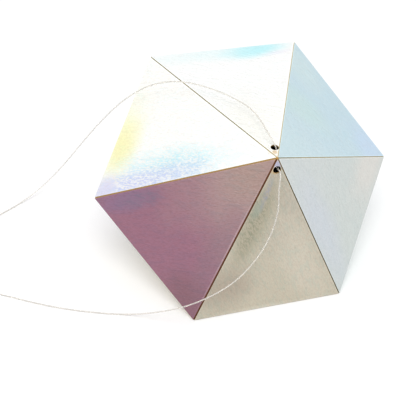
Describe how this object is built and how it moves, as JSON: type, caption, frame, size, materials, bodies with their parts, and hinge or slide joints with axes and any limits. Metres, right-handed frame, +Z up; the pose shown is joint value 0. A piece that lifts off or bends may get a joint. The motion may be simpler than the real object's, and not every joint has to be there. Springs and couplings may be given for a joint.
{
  "type": "folded paper ball ornament",
  "caption": "Hollow six-sided double pyramid folded from one sheet of pearly card, hung on a loop of clear line through two small holes beside its point.",
  "frame": {"origin": "on the table, under the middle of the ball, which lies on one of its lower panels", "axes": "+Z up, X along the girdle edge that touches the table, -Y towards the point with the thread holes"},
  "size_m": [0.1338, 0.0541, 0.0443],
  "materials": {
    "pearl_card": "pearlescent foil-faced card, satin, with fine crinkle and burnt brown score lines",
    "clear_line": "clear nylon monofilament"
  },
  "bodies": {
    "root": {"card_shell": "pearl_card", "hanging_thread": "clear_line", "thread_knot": "clear_line"}
  },
  "joints": []
}
